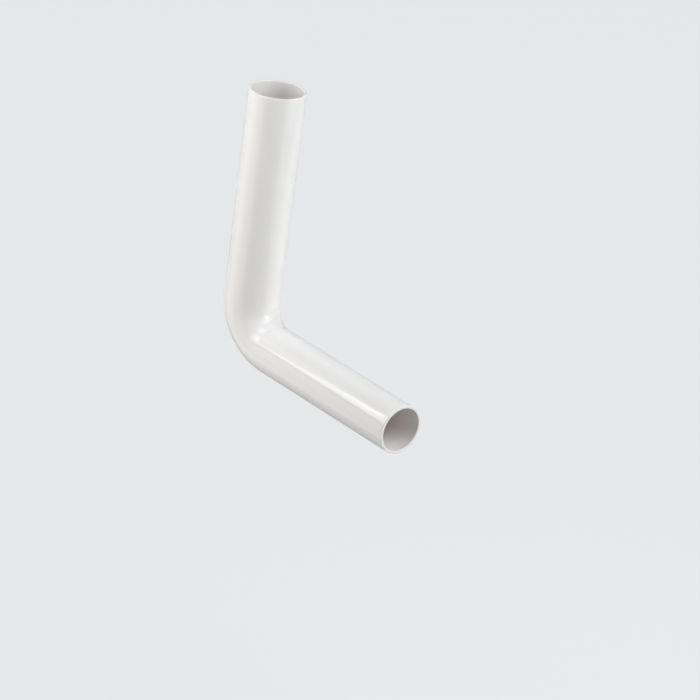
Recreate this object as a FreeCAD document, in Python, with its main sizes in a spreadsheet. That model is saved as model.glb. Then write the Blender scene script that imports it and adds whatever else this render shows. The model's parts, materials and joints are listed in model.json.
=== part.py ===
"""Flush pipe: a one-piece moulded bend that carries water from a low-level cistern to a toilet pan.

The pipe hangs from the origin, which is the centre of its upper end. The upper leg runs straight
down, a tight quarter bend narrows the tube, and the lower leg runs out along +X to the mouth.
All sizes are in millimetres.
"""
import FreeCAD
import Part
import Sketcher
import math
import os

# Driving dimensions: name, value, meaning
SIZES = [
    ("upper_diameter", 50.0, "outside diameter of the upper leg"),
    ("lower_diameter", 44.0, "outside diameter of the lower leg"),
    ("wall", 2.5, "wall thickness all along the tube"),
    ("drop", 230.0, "upper end down to the axis of the lower leg"),
    ("reach", 210.0, "axis of the upper leg out to the mouth"),
    ("bend_radius", 37.5, "radius of the bend along its centre line"),
    ("rim_round", 0.6, "rounding of the edges at both ends"),
]

# The tube narrows through the bend: the sections stand at these shares of the quarter turn
QUARTER_TURN = 90.0
BEND_SHARES = [0.0, 1.0 / 3.0, 2.0 / 3.0, 1.0]

# The two rim roundings never meet inside the wall
LARGEST_ROUND_IN_WALL = 0.45

NEAR = 0.001


def make_sheet(doc):
    """Put the driving dimensions in a spreadsheet, one aliased cell each."""
    sheet = doc.addObject("Spreadsheet::Sheet", "Sizes")
    for row, (alias, value, meaning) in enumerate(SIZES, start=1):
        sheet.set(f"A{row}", meaning)
        sheet.set(f"B{row}", str(value))
        sheet.setAlias(f"B{row}", alias)
    doc.recompute()
    return sheet


def origin_plane(body, role):
    """Find one of the body's own origin planes."""
    return next(plane for plane in body.Origin.OriginFeatures if plane.Role == role)


def attach(sketch, body, role):
    """Lay a sketch on one of the body's origin planes."""
    sketch.AttachmentSupport = (origin_plane(body, role), [""])
    sketch.MapMode = "FlatFace"


def add_circle(sketch, diameter):
    """Draw a circle about the sketch's origin, with its diameter bound to an expression."""
    upright = FreeCAD.Vector(0, 0, 1)
    circle = sketch.addGeometry(Part.Circle(FreeCAD.Vector(), upright, 1.0), False)
    sketch.addConstraint(Sketcher.Constraint("Coincident", circle, 3, -1, 1))
    size = sketch.addConstraint(Sketcher.Constraint("Diameter", circle, 2.0))
    sketch.setExpression(f"Constraints[{size}]", diameter)


def end_section(body, name, diameter):
    """Draw the tube's section at the upper end."""
    sketch = body.newObject("Sketcher::SketchObject", name)
    attach(sketch, body, "XY_Plane")
    add_circle(sketch, diameter)
    return sketch


def bend_section(body, name, share, inset):
    """Draw the tube's section at a share of the bend, square to the centre line."""
    turn = math.radians(QUARTER_TURN * share)
    sketch = body.newObject("Sketcher::SketchObject", name)
    attach(sketch, body, "XY_Plane")
    tilt = FreeCAD.Rotation(FreeCAD.Vector(0, 1, 0), -math.degrees(turn))
    sketch.AttachmentOffset = FreeCAD.Placement(FreeCAD.Vector(), tilt)
    sketch.setExpression("AttachmentOffset.Base.x", f"Sizes.bend_radius * {1.0 - math.cos(turn)}")
    sketch.setExpression(
        "AttachmentOffset.Base.z",
        f"Sizes.bend_radius * {1.0 - math.sin(turn)} - Sizes.drop",
    )
    # The narrowing starts and ends gently, so that the bend runs smoothly into both legs
    narrowed = share * share * (3.0 - 2.0 * share)
    outside = f"Sizes.upper_diameter * {1.0 - narrowed} + Sizes.lower_diameter * {narrowed}"
    add_circle(sketch, f"{outside} - 2 * ({inset})")
    return sketch


def bend_path(body):
    """Draw the centre line of the bend, a quarter arc in the plane of the two legs."""
    sketch = body.newObject("Sketcher::SketchObject", "BendPath")
    attach(sketch, body, "XZ_Plane")
    sketch.setExpression("AttachmentOffset.Base.x", "Sizes.bend_radius")
    sketch.setExpression("AttachmentOffset.Base.y", "Sizes.bend_radius - Sizes.drop")
    circle = Part.Circle(FreeCAD.Vector(), FreeCAD.Vector(0, 0, 1), 1.0)
    arc = sketch.addGeometry(Part.ArcOfCircle(circle, math.pi, 1.5 * math.pi), False)
    sketch.addConstraint(Sketcher.Constraint("Coincident", arc, 3, -1, 1))
    sketch.addConstraint(Sketcher.Constraint("PointOnObject", arc, 1, -1))
    sketch.addConstraint(Sketcher.Constraint("PointOnObject", arc, 2, -2))
    radius = sketch.addConstraint(Sketcher.Constraint("Radius", arc, 1.0))
    sketch.setExpression(f"Constraints[{radius}]", "Sizes.bend_radius")
    return sketch


def add_leg(body, kind, name, sketch, length):
    """Pad or pocket a straight leg from its section, away from the section's upper side."""
    leg = body.newObject(f"PartDesign::{kind}", name)
    leg.Profile = sketch
    # A pocket already runs to the section's underside, while a pad has to be turned round
    leg.Reversed = kind == "Pad"
    leg.setExpression("Length", length)
    body.Document.recompute()


def add_bend(body, kind, name, sections, path):
    """Sweep the sections of the bend along its centre line."""
    bend = body.newObject(f"PartDesign::{kind}", name)
    bend.Profile = sections[0]
    bend.Spine = (path, ["Edge1"])
    bend.Transformation = "Multisection"
    bend.Sections = [(section, [""]) for section in sections[1:]]
    body.Document.recompute()


def add_tube(body, prefix, inset, path, leg_kind, bend_kind):
    """Add the tube's outside, or cut its bore, as two straight legs joined by the bend."""
    top = end_section(body, f"{prefix}TopSection", f"Sizes.upper_diameter - 2 * ({inset})")
    sections = [
        bend_section(body, f"{prefix}BendSection{number}", share, inset)
        for number, share in enumerate(BEND_SHARES)
    ]
    body.Document.recompute()
    add_leg(body, leg_kind, f"{prefix}UpperLeg", top, "Sizes.drop - Sizes.bend_radius")
    add_bend(body, bend_kind, f"{prefix}Bend", sections, path)
    add_leg(body, leg_kind, f"{prefix}LowerLeg", sections[-1], "Sizes.reach - Sizes.bend_radius")


def round_rims(body, sheet):
    """Round the inner and outer edge of each end."""
    tip = body.Tip
    rim_edges = []
    for number, edge in enumerate(tip.Shape.Edges, start=1):
        at_top = edge.BoundBox.ZMin > -NEAR
        at_mouth = edge.BoundBox.XMin > sheet.reach - NEAR
        if at_top or at_mouth:
            rim_edges.append(f"Edge{number}")
    rims = body.newObject("PartDesign::Fillet", "RoundedRims")
    rims.Base = (tip, rim_edges)
    rims.setExpression("Radius", f"min(Sizes.rim_round; Sizes.wall * {LARGEST_ROUND_IN_WALL})")


def check(doc, body):
    """Stop if any feature failed or the pipe is not one sound solid."""
    for thing in doc.Objects:
        if {"Invalid", "Error"} & set(thing.State):
            raise RuntimeError(f"{thing.Label} failed: {thing.State}")
    shape = body.Shape
    if shape.isNull() or not shape.isValid() or len(shape.Solids) != 1:
        raise RuntimeError(f"{body.Label} is not one valid solid")


def main():
    doc = FreeCAD.newDocument("FlushPipe")
    sheet = make_sheet(doc)
    body = doc.addObject("PartDesign::Body", "FlushPipe")
    body.Label = "flush_pipe"
    path = bend_path(body)
    add_tube(body, "Outside", "0", path, "Pad", "AdditivePipe")
    add_tube(body, "Bore", "Sizes.wall", path, "Pocket", "SubtractivePipe")
    round_rims(body, sheet)
    doc.recompute()
    check(doc, body)
    os.makedirs("parts", exist_ok=True)
    body.Shape.exportStep(f"parts/{body.Label}.step")
    print(body.Label, "volume", body.Shape.Volume, "box", body.Shape.BoundBox)


main()
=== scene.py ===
"""Looks of the flush pipe: a white moulded tube, held up as it is when fitted, in soft studio light.

All lengths are in metres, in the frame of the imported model.
"""
import json
import math
import bmesh
import bpy
from mathutils import Matrix, Vector


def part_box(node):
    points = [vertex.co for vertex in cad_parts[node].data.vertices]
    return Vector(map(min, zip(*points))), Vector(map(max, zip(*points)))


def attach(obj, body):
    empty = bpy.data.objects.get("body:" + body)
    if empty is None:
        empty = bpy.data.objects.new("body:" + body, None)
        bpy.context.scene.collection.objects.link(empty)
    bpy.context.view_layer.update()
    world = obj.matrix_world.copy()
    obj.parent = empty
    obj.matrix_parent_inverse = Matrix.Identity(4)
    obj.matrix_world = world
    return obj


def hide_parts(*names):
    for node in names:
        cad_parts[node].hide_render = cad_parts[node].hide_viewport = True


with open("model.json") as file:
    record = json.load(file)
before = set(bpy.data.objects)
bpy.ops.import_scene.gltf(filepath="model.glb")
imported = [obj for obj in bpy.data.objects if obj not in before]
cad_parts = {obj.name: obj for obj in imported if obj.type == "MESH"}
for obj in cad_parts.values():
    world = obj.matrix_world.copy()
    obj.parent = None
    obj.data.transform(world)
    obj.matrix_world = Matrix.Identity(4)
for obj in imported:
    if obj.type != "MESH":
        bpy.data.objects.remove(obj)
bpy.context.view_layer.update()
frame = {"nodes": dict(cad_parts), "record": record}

# Sizes of the pipe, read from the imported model
NODE = "flush_pipe"
MILLIMETRE = 0.001
LOW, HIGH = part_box(NODE)
MOUTH = next(mount for mount in frame["record"]["mounts"] if mount["name"] == "pan_end")
MOUTH_WALL_START = MOUTH["pos_m"][0]
LOWER_AXIS = MOUTH["pos_m"][2]
LOWER_RADIUS = MOUTH["dims"]["r_mm"] * MILLIMETRE
UPPER_RADIUS = HIGH.y
REACH = HIGH.x
TOP = HIGH.z
RIM_ROUND = REACH - MOUTH_WALL_START
BEND_RADIUS = MOUTH_WALL_START - MOUTH["dims"]["length_mm"] * MILLIMETRE
QUARTER_TURN = math.pi / 2.0

# Directions: up and down the upper leg, out of the mouth, and across the plane of the two legs
UP = Vector((0.0, 0.0, 1.0))
DOWN = Vector((0.0, 0.0, -1.0))
OUT = Vector((1.0, 0.0, 0.0))
ACROSS = Vector((0.0, 1.0, 0.0))

# Fineness of the mesh, and how close to an end a point has to be to count as on it
AROUND = 144
UPPER_LEG_STEPS = 28
BEND_STEPS = 45
LOWER_LEG_STEPS = 26
RIM_STEPS = 6
NEAR = 0.00001

# White plastic: glossy where the mould shaped it, matte with painted shade on its cut ends, and painted
# shade in the bore, darker and warmer deeper inside
PLASTIC_COLOUR = (0.862, 0.847, 0.823)
PLASTIC_SHADE = (0.846, 0.83, 0.804)
PLASTIC_IOR = 1.5
MOULDED_ROUGHNESS = (0.06, 0.1)
CUT_ROUGHNESS = 0.55
CUT_MARK = "cut_end"
# Painted shade on the flat cut ends: their colour is made a tenth darker
CUT_END_PAINTED_SHADE = (0.9, 0.9, 0.9)
# Painted shade in the bore: its colour is made darker and warmer, fading in over a short depth from
# each open end
BORE_PAINTED_SHADE_MARK = "bore"
BORE_PAINTED_SHADE = (1.01, 0.96, 0.95)
BORE_PAINTED_SHADE_FADE = 0.03
CLOUD_SCALE = 35.0
CLOUD_DETAIL = 3.0
CLOUD_SPREAD = (0.3, 0.7)
RIPPLE_SCALE = 90.0
RIPPLE_DETAIL = 1.0
RIPPLE_HEIGHT = 0.000008
GRAIN_SCALE = 900.0
GRAIN_DETAIL = 2.0
GRAIN_HEIGHT = 0.0000012

# Pale surroundings: the floor shows a share of its real shading, and its even tone makes up for that
BACKGROUND = (0.791, 0.799, 0.815)
ROOM_LIGHT = 0.16
ROOM_COLOUR = (1.0, 1.0, 0.85)
FLOOR_DROP = 0.85
FLOOR_WIDTH = 24.0
FLOOR_SHADING = 0.12
EVEN_TONE_GAIN = 1.1

# Camera at the photograph's viewing angle, aimed at a point beside the lower leg
CAMERA_AIM = Vector((0.0978, 0.0339, -0.2103))
CAMERA_DISTANCE = 2.6252
CAMERA_AZIMUTH = -42.90
CAMERA_ELEVATION = 23.88
CAMERA_ROLL = math.radians(7.85)
CAMERA_LENS = 155.58
CAMERA_SENSOR = 36.0
CAMERA_REACH = 100.0

# Softboxes about a centre: name, azimuth, elevation, distance, width, height, brightness, colour
LIGHT_CENTRE = Vector((0.08, 0.0, -0.16))
WHITE_LIGHT = (1.0, 1.0, 1.0)
COOL_LIGHT = (0.89, 0.91, 1.0)
SOFTBOXES = [
    ("left_top", -118.0, 64.0, 1.0, 0.73, 0.39, 2.9, COOL_LIGHT),
    ("left_low", -122.0, -22.0, 0.9, 1.15, 0.88, 1.03, WHITE_LIGHT),
    ("left_spot", -131.0, 29.0, 0.7, 0.04, 0.17, 2.3, WHITE_LIGHT),
    ("behind_top", 168.0, 35.0, 0.9, 0.43, 0.31, 0.45, COOL_LIGHT),
    ("over_mouth", 10.0, 54.0, 1.8, 1.4, 1.0, 2.2, COOL_LIGHT),
    ("right_key", 21.0, 28.0, 2.4, 0.85, 0.85, 4.5, WHITE_LIGHT),
    ("right_main", 28.0, 33.0, 2.4, 2.24, 2.24, 1.36, COOL_LIGHT),
    ("right_level", 28.0, -5.0, 2.4, 2.24, 1.06, 0.93, WHITE_LIGHT),
    ("right_low", 40.0, -30.0, 1.3, 2.0, 0.58, 0.7, WHITE_LIGHT),
]

# Upright lights in a row on the left: name, start and end along the row, brightness, colour
ROW_CORNER = Vector((-0.389, -0.459, -0.057))
ROW_DIRECTION = Vector((0.866, -0.5, 0.0))
ROW_HEIGHT = 0.44
ROW_LIGHTS = [
    ("left_panel", -0.3, -0.015, 1.15, COOL_LIGHT),
    ("left_strip", -0.015, 0.2, 3.85, WHITE_LIGHT),
    ("left_wing", 0.2, 0.45, 1.9, WHITE_LIGHT),
]

# Unseen cards that the pipe's edges mirror: name, azimuth, elevation, distance, width, height, grey
CARD_ROUGHNESS = 1.0
CARDS = [
    ("card_below", 148.0, -49.0, 0.78, 0.6, 0.6, 0.45),
    ("card_behind", 146.0, -8.0, 0.9, 0.8, 0.45, 0.7),
]


def bore_radius():
    """Inside radius of the lower leg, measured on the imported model."""
    points = [vertex.co for vertex in frame["nodes"][NODE].data.vertices]
    in_leg = [point for point in points if BEND_RADIUS < point.x < REACH]
    return min(math.hypot(point.y, point.z - LOWER_AXIS) for point in in_leg)


WALL = LOWER_RADIUS - bore_radius()


def narrowed_radius(share):
    """Outside radius at a share of the bend: the narrowing starts and ends gently."""
    done = share * share * (3.0 - 2.0 * share)
    return UPPER_RADIUS + (LOWER_RADIUS - UPPER_RADIUS) * done


def stations():
    """Centre, direction and outside radius along the pipe, between its two rims."""
    bend_start = LOWER_AXIS + BEND_RADIUS
    found = []
    for step in range(1, UPPER_LEG_STEPS):
        height = TOP + (bend_start - TOP) * step / UPPER_LEG_STEPS
        found.append((Vector((0.0, 0.0, height)), DOWN, UPPER_RADIUS))
    for step in range(BEND_STEPS + 1):
        share = step / BEND_STEPS
        turn = QUARTER_TURN * share
        centre = Vector((
            BEND_RADIUS * (1.0 - math.cos(turn)),
            0.0,
            bend_start - BEND_RADIUS * math.sin(turn),
        ))
        direction = OUT * math.sin(turn) + DOWN * math.cos(turn)
        found.append((centre, direction, narrowed_radius(share)))
    for step in range(1, LOWER_LEG_STEPS):
        along = BEND_RADIUS + (REACH - BEND_RADIUS) * step / LOWER_LEG_STEPS
        found.append((Vector((along, 0.0, LOWER_AXIS)), OUT, LOWER_RADIUS))
    return found


def rim(end, inward, outside):
    """Rings over one end of the tube, from its outside to its bore, with both edges rounded."""
    bore = outside - WALL
    rings = []
    for step in range(RIM_STEPS + 1):
        turn = QUARTER_TURN * step / RIM_STEPS
        depth = RIM_ROUND * (1.0 - math.sin(turn))
        rings.append((end + inward * depth, outside - RIM_ROUND * (1.0 - math.cos(turn))))
    for step in range(RIM_STEPS + 1):
        turn = QUARTER_TURN * step / RIM_STEPS
        depth = RIM_ROUND * (1.0 - math.cos(turn))
        rings.append((end + inward * depth, bore + RIM_ROUND * (1.0 - math.sin(turn))))
    return rings


def depth_in_bore(centre):
    """How deep a ring of the bore lies, from 0 at either open end to 1 well inside, which sets how
    strong the painted shade is there.
    """
    return min(REACH - centre.x, TOP - centre.z, BORE_PAINTED_SHADE_FADE) / BORE_PAINTED_SHADE_FADE


def pipe_rings():
    """Centre, direction and radius of all rings, and how deep each lies in the bore for its painted
    shade.

    They run down the outside, over the mouth, back up the bore and over the upper rim.
    """
    along = stations()
    mouth_rim = rim(Vector((REACH, 0.0, LOWER_AXIS)), -OUT, LOWER_RADIUS)
    upper_rim = rim(Vector((0.0, 0.0, TOP)), DOWN, UPPER_RADIUS)
    rings = [(centre, direction, radius, 0.0) for centre, direction, radius in along]
    rings += [(centre, OUT, radius, 0.0) for centre, radius in mouth_rim]
    for centre, direction, radius in reversed(along):
        rings.append((centre, direction, radius - WALL, depth_in_bore(centre)))
    rings += [(centre, DOWN, radius, 0.0) for centre, radius in reversed(upper_rim)]
    return rings


def on_end_plane(point):
    """Whether a point lies on the flat of the mouth or of the upper end."""
    return point.x > REACH - NEAR or point.z > TOP - NEAR


def build_pipe():
    """The pipe as one closed, evenly divided mesh, with the painted shade of its bore and the flat of
    its ends marked.
    """
    mesh_builder = bmesh.new()
    bore_painted_shade_mark = mesh_builder.verts.layers.float.new(BORE_PAINTED_SHADE_MARK)
    cut_mark = mesh_builder.verts.layers.float.new(CUT_MARK)
    rows = []
    for centre, direction, radius, depth in pipe_rings():
        other = direction.cross(ACROSS)
        row = []
        for step in range(AROUND):
            turn = 2.0 * math.pi * step / AROUND
            offset = other * math.cos(turn) + ACROSS * math.sin(turn)
            vertex = mesh_builder.verts.new(centre + offset * radius)
            vertex[bore_painted_shade_mark] = depth
            vertex[cut_mark] = float(on_end_plane(vertex.co))
            row.append(vertex)
        rows.append(row)
    for row, following in zip(rows, rows[1:] + rows[:1]):
        for step in range(AROUND):
            beside = (step + 1) % AROUND
            face = mesh_builder.faces.new((row[step], row[beside], following[beside], following[step]))
            face.smooth = True
    bmesh.ops.recalc_face_normals(mesh_builder, faces=mesh_builder.faces)
    mesh = bpy.data.meshes.new("moulded_tube")
    mesh_builder.to_mesh(mesh)
    mesh_builder.free()
    pipe = bpy.data.objects.new("moulded_tube", mesh)
    bpy.context.scene.collection.objects.link(pipe)
    return pipe


def colour(rgb):
    """A colour with full opacity."""
    return (*rgb, 1.0)


def noise(nodes, links, coordinates, scale, detail):
    """A noise texture on the pipe's own coordinates."""
    texture = nodes.new("ShaderNodeTexNoise")
    texture.inputs["Scale"].default_value = scale
    texture.inputs["Detail"].default_value = detail
    links.new(coordinates.outputs["Object"], texture.inputs["Vector"])
    return texture


def bump(nodes, links, texture, height, below):
    """Raise the surface by a texture, on top of another bump if there is one."""
    node = nodes.new("ShaderNodeBump")
    node.inputs["Distance"].default_value = height
    links.new(texture.outputs["Fac"], node.inputs["Height"])
    if below is not None:
        links.new(below.outputs["Normal"], node.inputs["Normal"])
    return node


def marked(nodes, mark):
    """How far a place on the pipe carries a mark, from 0 to 1."""
    attribute = nodes.new("ShaderNodeAttribute")
    attribute.attribute_name = mark
    return attribute.outputs["Fac"]


def tinted(nodes, links, source, mark, tint):
    """A colour multiplied by a tint where the pipe carries a mark."""
    mix = nodes.new("ShaderNodeMixRGB")
    mix.blend_type = "MULTIPLY"
    mix.inputs["Color2"].default_value = colour(tint)
    links.new(marked(nodes, mark), mix.inputs["Fac"])
    links.new(source, mix.inputs["Color1"])
    return mix.outputs["Color"]


def plastic_material():
    """White plastic: faint clouding, soft ripples and grain, painted shade in the bore, and matte cut
    ends with painted shade.
    """
    material = bpy.data.materials.new("white_plastic")
    material.use_nodes = True
    nodes = material.node_tree.nodes
    links = material.node_tree.links
    shader = nodes["Principled BSDF"]
    shader.inputs["IOR"].default_value = PLASTIC_IOR
    coordinates = nodes.new("ShaderNodeTexCoord")
    clouds = noise(nodes, links, coordinates, CLOUD_SCALE, CLOUD_DETAIL)

    ramp = nodes.new("ShaderNodeValToRGB")
    tones = (PLASTIC_SHADE, PLASTIC_COLOUR)
    for element, position, rgb in zip(ramp.color_ramp.elements, CLOUD_SPREAD, tones):
        element.position = position
        element.color = colour(rgb)
    links.new(clouds.outputs["Fac"], ramp.inputs["Fac"])
    # Painted shade in the bore, fading in from the open ends
    with_bore_painted_shade = tinted(nodes, links, ramp.outputs["Color"], BORE_PAINTED_SHADE_MARK, BORE_PAINTED_SHADE)
    # Painted shade on the flat cut ends, a tenth darker
    with_cut_end_painted_shade = tinted(nodes, links, with_bore_painted_shade, CUT_MARK, CUT_END_PAINTED_SHADE)
    links.new(with_cut_end_painted_shade, shader.inputs["Base Color"])

    gloss = nodes.new("ShaderNodeMapRange")
    gloss.inputs["To Min"].default_value, gloss.inputs["To Max"].default_value = MOULDED_ROUGHNESS
    links.new(clouds.outputs["Fac"], gloss.inputs["Value"])
    roughness = nodes.new("ShaderNodeMix")
    roughness.inputs["B"].default_value = CUT_ROUGHNESS
    links.new(marked(nodes, CUT_MARK), roughness.inputs["Factor"])
    links.new(gloss.outputs["Result"], roughness.inputs["A"])
    links.new(roughness.outputs["Result"], shader.inputs["Roughness"])

    ripple_noise = noise(nodes, links, coordinates, RIPPLE_SCALE, RIPPLE_DETAIL)
    ripples = bump(nodes, links, ripple_noise, RIPPLE_HEIGHT, None)
    grain_noise = noise(nodes, links, coordinates, GRAIN_SCALE, GRAIN_DETAIL)
    grain = bump(nodes, links, grain_noise, GRAIN_HEIGHT, ripples)
    links.new(grain.outputs["Normal"], shader.inputs["Normal"])
    return material


def seen_directly(nodes, links):
    """1 for what is seen directly, in a reflection or through glass, and 0 for other light."""
    path = nodes.new("ShaderNodeLightPath")
    camera_or_mirror = nodes.new("ShaderNodeMath")
    camera_or_mirror.operation = "MAXIMUM"
    links.new(path.outputs["Is Camera Ray"], camera_or_mirror.inputs[0])
    links.new(path.outputs["Is Glossy Ray"], camera_or_mirror.inputs[1])
    any_of_them = nodes.new("ShaderNodeMath")
    any_of_them.operation = "MAXIMUM"
    links.new(camera_or_mirror.outputs["Value"], any_of_them.inputs[0])
    links.new(path.outputs["Is Transmission Ray"], any_of_them.inputs[1])
    return any_of_them


def floor_material():
    """Pale floor: an even tone where it is seen, with a share of real shading that keeps the shadow."""
    material = bpy.data.materials.new("pale_floor")
    material.use_nodes = True
    nodes = material.node_tree.nodes
    links = material.node_tree.links
    nodes.clear()
    paint = nodes.new("ShaderNodeBsdfDiffuse")
    paint.inputs["Color"].default_value = colour(BACKGROUND)
    even_tone = nodes.new("ShaderNodeEmission")
    even_tone.inputs["Color"].default_value = colour(BACKGROUND)
    even_tone.inputs["Strength"].default_value = EVEN_TONE_GAIN
    share = nodes.new("ShaderNodeMath")
    share.operation = "MULTIPLY"
    share.inputs[1].default_value = 1.0 - FLOOR_SHADING
    links.new(seen_directly(nodes, links).outputs["Value"], share.inputs[0])
    mix = nodes.new("ShaderNodeMixShader")
    links.new(share.outputs["Value"], mix.inputs["Fac"])
    links.new(paint.outputs["BSDF"], mix.inputs[1])
    links.new(even_tone.outputs["Emission"], mix.inputs[2])
    output = nodes.new("ShaderNodeOutputMaterial")
    links.new(mix.outputs["Shader"], output.inputs["Surface"])
    return material


def card_material(name, grey):
    """Matte grey card."""
    material = bpy.data.materials.new(name)
    material.use_nodes = True
    shader = material.node_tree.nodes["Principled BSDF"]
    shader.inputs["Base Color"].default_value = colour((grey, grey, grey))
    shader.inputs["Roughness"].default_value = CARD_ROUGHNESS
    return material


def away(azimuth, elevation):
    """Direction at an azimuth from +X and an elevation, both in degrees."""
    turn = math.radians(azimuth)
    rise = math.radians(elevation)
    level = math.cos(rise)
    return Vector((level * math.cos(turn), level * math.sin(turn), math.sin(rise)))


def put_facing(thing, place, facing):
    """Put a lamp or a sheet at a place, facing a direction with its own -Z axis."""
    thing.location = place
    thing.rotation_euler = facing.to_track_quat("-Z", "Y").to_euler()
    bpy.context.scene.collection.objects.link(thing)


def sheet(name, width, height, material):
    """A flat sheet that is not part of the object."""
    x = width / 2.0
    y = height / 2.0
    mesh = bpy.data.meshes.new(name)
    mesh.from_pydata([(-x, -y, 0.0), (x, -y, 0.0), (x, y, 0.0), (-x, y, 0.0)], [], [(0, 1, 2, 3)])
    mesh.materials.append(material)
    return bpy.data.objects.new(name, mesh)


def build_stage():
    """A wide pale floor, well below the pipe, and the cards around it."""
    floor = sheet("floor", FLOOR_WIDTH, FLOOR_WIDTH, floor_material())
    put_facing(floor, Vector((0.0, 0.0, LOW.z - FLOOR_DROP)), DOWN)
    for name, azimuth, elevation, distance, width, height, grey in CARDS:
        card = sheet(name, width, height, card_material(name, grey))
        direction = away(azimuth, elevation)
        put_facing(card, LIGHT_CENTRE + direction * distance, -direction)
        card.visible_camera = False


def build_world():
    """Surroundings in the floor's tone where they are seen, and a low even light elsewhere."""
    world = bpy.data.worlds.new("pale_room")
    world.use_nodes = True
    nodes = world.node_tree.nodes
    links = world.node_tree.links
    nodes.clear()
    room_light = nodes.new("ShaderNodeBackground")
    room_light.inputs["Color"].default_value = colour(ROOM_COLOUR)
    room_light.inputs["Strength"].default_value = ROOM_LIGHT
    even_tone = nodes.new("ShaderNodeBackground")
    even_tone.inputs["Color"].default_value = colour(BACKGROUND)
    mix = nodes.new("ShaderNodeMixShader")
    links.new(seen_directly(nodes, links).outputs["Value"], mix.inputs["Fac"])
    links.new(room_light.outputs["Background"], mix.inputs[1])
    links.new(even_tone.outputs["Background"], mix.inputs[2])
    output = nodes.new("ShaderNodeOutputWorld")
    links.new(mix.outputs["Shader"], output.inputs["Surface"])
    bpy.context.scene.world = world


def add_softbox(name, place, facing, width, height, brightness, rgb):
    """A rectangular lamp, hidden from the camera, whose power follows from its area and brightness."""
    light = bpy.data.lights.new(name, "AREA")
    light.shape = "RECTANGLE"
    light.size = width
    light.size_y = height
    light.energy = math.pi * width * height * brightness
    light.color = rgb
    lamp = bpy.data.objects.new(name, light)
    lamp.visible_camera = False
    put_facing(lamp, place, facing)


def build_lights():
    """Softboxes around the pipe, and the row of upright lights that the lower leg mirrors as a line."""
    for name, azimuth, elevation, distance, width, height, brightness, rgb in SOFTBOXES:
        direction = away(azimuth, elevation)
        place = LIGHT_CENTRE + direction * distance
        add_softbox(name, place, -direction, width, height, brightness, rgb)
    facing = UP.cross(ROW_DIRECTION)
    for name, start, end, brightness, rgb in ROW_LIGHTS:
        place = ROW_CORNER + ROW_DIRECTION * (start + end) / 2.0 + UP * ROW_HEIGHT / 2.0
        add_softbox(name, place, facing, end - start, ROW_HEIGHT, brightness, rgb)


def build_camera():
    """The photograph's view: from the mouth's side, a little above, slightly rolled."""
    back = away(CAMERA_AZIMUTH, CAMERA_ELEVATION)
    data = bpy.data.cameras.new("photo_view")
    data.lens = CAMERA_LENS
    data.sensor_width = CAMERA_SENSOR
    data.clip_end = CAMERA_REACH
    camera = bpy.data.objects.new("photo_view", data)
    turned = (-back).to_track_quat("-Z", "Y").to_matrix() @ Matrix.Rotation(CAMERA_ROLL, 3, "Z")
    camera.matrix_world = Matrix.Translation(CAMERA_AIM + back * CAMERA_DISTANCE) @ turned.to_4x4()
    bpy.context.scene.collection.objects.link(camera)
    bpy.context.scene.camera = camera


pipe = build_pipe()
pipe.data.materials.append(plastic_material())
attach(pipe, "root")
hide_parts(NODE)
build_stage()
build_world()
build_lights()
build_camera()
bpy.context.scene.view_settings.view_transform = "Standard"
